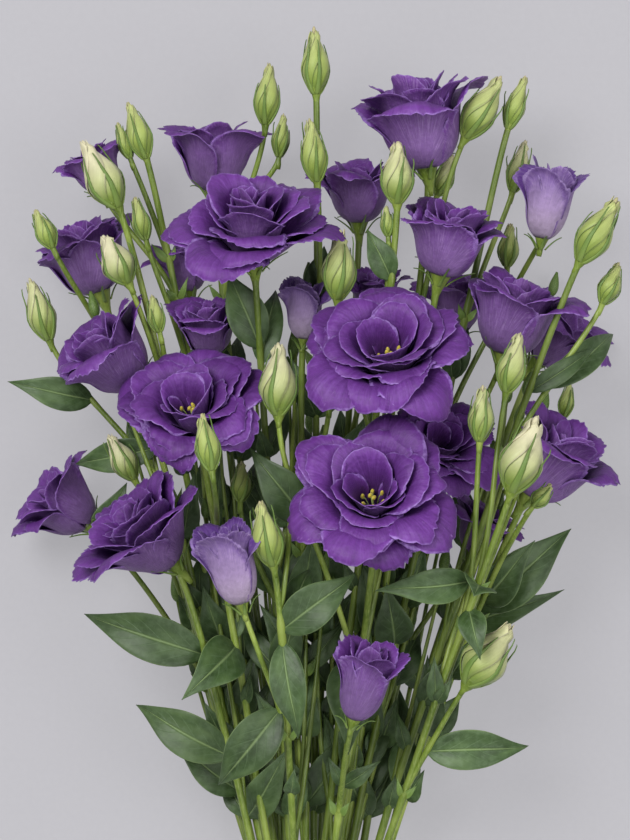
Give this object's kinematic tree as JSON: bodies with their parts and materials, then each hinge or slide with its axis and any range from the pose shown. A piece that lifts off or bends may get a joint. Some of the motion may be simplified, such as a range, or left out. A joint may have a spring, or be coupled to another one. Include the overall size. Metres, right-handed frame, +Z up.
{
  "type": "lisianthus flower",
  "caption": "Cut bunch of purple double lisianthus, lying on its back: ruffled blooms, pale green buds and leafy stems, held by a plain tie.",
  "frame": {"origin": "middle of the flat spot under the tie, where the bunch touches the surface", "axes": "+Y along the stems towards the flowers, +Z up from the surface, to the side that the flowers face"},
  "size_m": [0.3098, 0.6286, 0.1605],
  "materials": {
    "petal": "soft matte petal",
    "stem_and_leaf": "satin green plant skin",
    "stamen": "matte",
    "tie": "matte twine"
  },
  "bodies": {
    "root": {"stem_01": "stem_and_leaf", "stem_02": "stem_and_leaf", "stem_03": "stem_and_leaf", "stem_04": "stem_and_leaf", "stem_05": "stem_and_leaf", "stem_06": "stem_and_leaf", "stem_07": "stem_and_leaf", "stem_08": "stem_and_leaf", "stem_09": "stem_and_leaf", "stem_10": "stem_and_leaf", "stem_11": "stem_and_leaf", "stem_12": "stem_and_leaf", "stem_13": "stem_and_leaf", "stem_14": "stem_and_leaf", "stem_15": "stem_and_leaf", "stem_16": "stem_and_leaf", "stem_17": "stem_and_leaf", "stem_18": "stem_and_leaf", "stem_19": "stem_and_leaf", "stem_20": "stem_and_leaf", "stem_21": "stem_and_leaf", "stem_22": "stem_and_leaf", "stem_23": "stem_and_leaf", "stem_24": "stem_and_leaf", "bloom_01": "petal", "bloom_02": "petal", "bloom_03": "petal", "bloom_04": "petal", "bloom_05": "petal", "bloom_06": "petal", "bloom_07": "petal", "bloom_08": "petal", "bloom_09": "petal", "bloom_10": "petal", "bloom_11": "petal", "bloom_12": "petal", "bloom_13": "petal", "bloom_14": "petal", "bloom_15": "petal", "bloom_16": "petal", "bloom_17": "petal", "bloom_18": "petal", "bloom_19": "petal", "bloom_20": "petal", "bloom_21": "petal", "bloom_22": "petal", "bloom_23": "petal", "bloom_24": "petal", "bloom_25": "petal", "bloom_26": "petal", "stamens_02": "stamen", "stamens_03": "stamen", "stamens_04": "stamen", "tie": "tie"}
  },
  "joints": []
}
